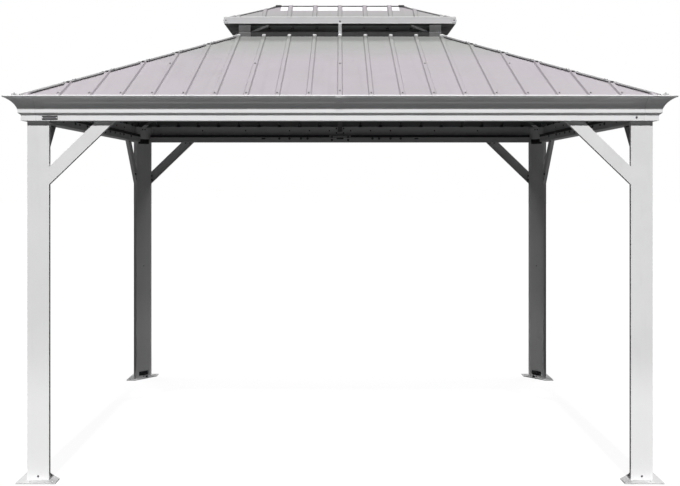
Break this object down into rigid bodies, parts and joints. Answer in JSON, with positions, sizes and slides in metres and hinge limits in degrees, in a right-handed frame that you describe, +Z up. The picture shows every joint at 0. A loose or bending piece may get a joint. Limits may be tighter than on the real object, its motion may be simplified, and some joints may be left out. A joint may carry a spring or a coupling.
{
  "type": "double-roof metal garden gazebo",
  "caption": "Rectangular open metal gazebo with triangular corner posts, knee braces, a moulded gutter and a hipped standing-seam roof under a raised vent roof.",
  "frame": {"origin": "on the ground, at the middle of the plan", "axes": "+X along the long side, the front long side faces -Y, +Z up"},
  "size_m": [3.994, 2.866, 3.1544],
  "materials": {
    "frame_paint": "fine satin powder coat, light grey",
    "gutter_paint": "fine satin powder coat, mid grey in the cove, light on the fillets",
    "rafter_paint": "satin charcoal powder coat",
    "roof_paint": "satin coil coat, warm grey",
    "vent_paint": "satin powder coat, grey"
  },
  "bodies": {
    "root": {"post_front_left": "frame_paint", "post_front_right": "frame_paint", "post_rear_left": "frame_paint", "post_rear_right": "frame_paint", "base_plate_front_left": "frame_paint", "base_plate_front_right": "frame_paint", "base_plate_rear_left": "frame_paint", "base_plate_rear_right": "frame_paint", "brace_front_left_long": "frame_paint", "brace_front_right_long": "frame_paint", "brace_rear_left_long": "frame_paint", "brace_rear_right_long": "frame_paint", "brace_front_left_short": "frame_paint", "brace_front_right_short": "frame_paint", "brace_rear_left_short": "frame_paint", "brace_rear_right_short": "frame_paint", "beam_front": "frame_paint", "beam_rear": "frame_paint", "beam_left": "frame_paint", "beam_right": "frame_paint", "gutter_front": "gutter_paint", "gutter_rear": "gutter_paint", "gutter_left": "gutter_paint", "gutter_right": "gutter_paint", "gutter_corners": "gutter_paint", "hip_rafter_front_left": "rafter_paint", "hip_rafter_front_right": "rafter_paint", "hip_rafter_rear_left": "rafter_paint", "hip_rafter_rear_right": "rafter_paint", "middle_rafters": "rafter_paint", "purlins": "rafter_paint", "opening_frame": "rafter_paint", "roof_front": "roof_paint", "roof_rear": "roof_paint", "roof_left": "roof_paint", "roof_right": "roof_paint", "hip_caps": "roof_paint", "vent_brackets": "vent_paint", "vent_uprights": "vent_paint", "vent_fascia": "vent_paint", "vent_roof_front": "roof_paint", "vent_roof_rear": "roof_paint", "vent_roof_left": "roof_paint", "vent_roof_right": "roof_paint", "vent_caps": "roof_paint"}
  },
  "joints": []
}
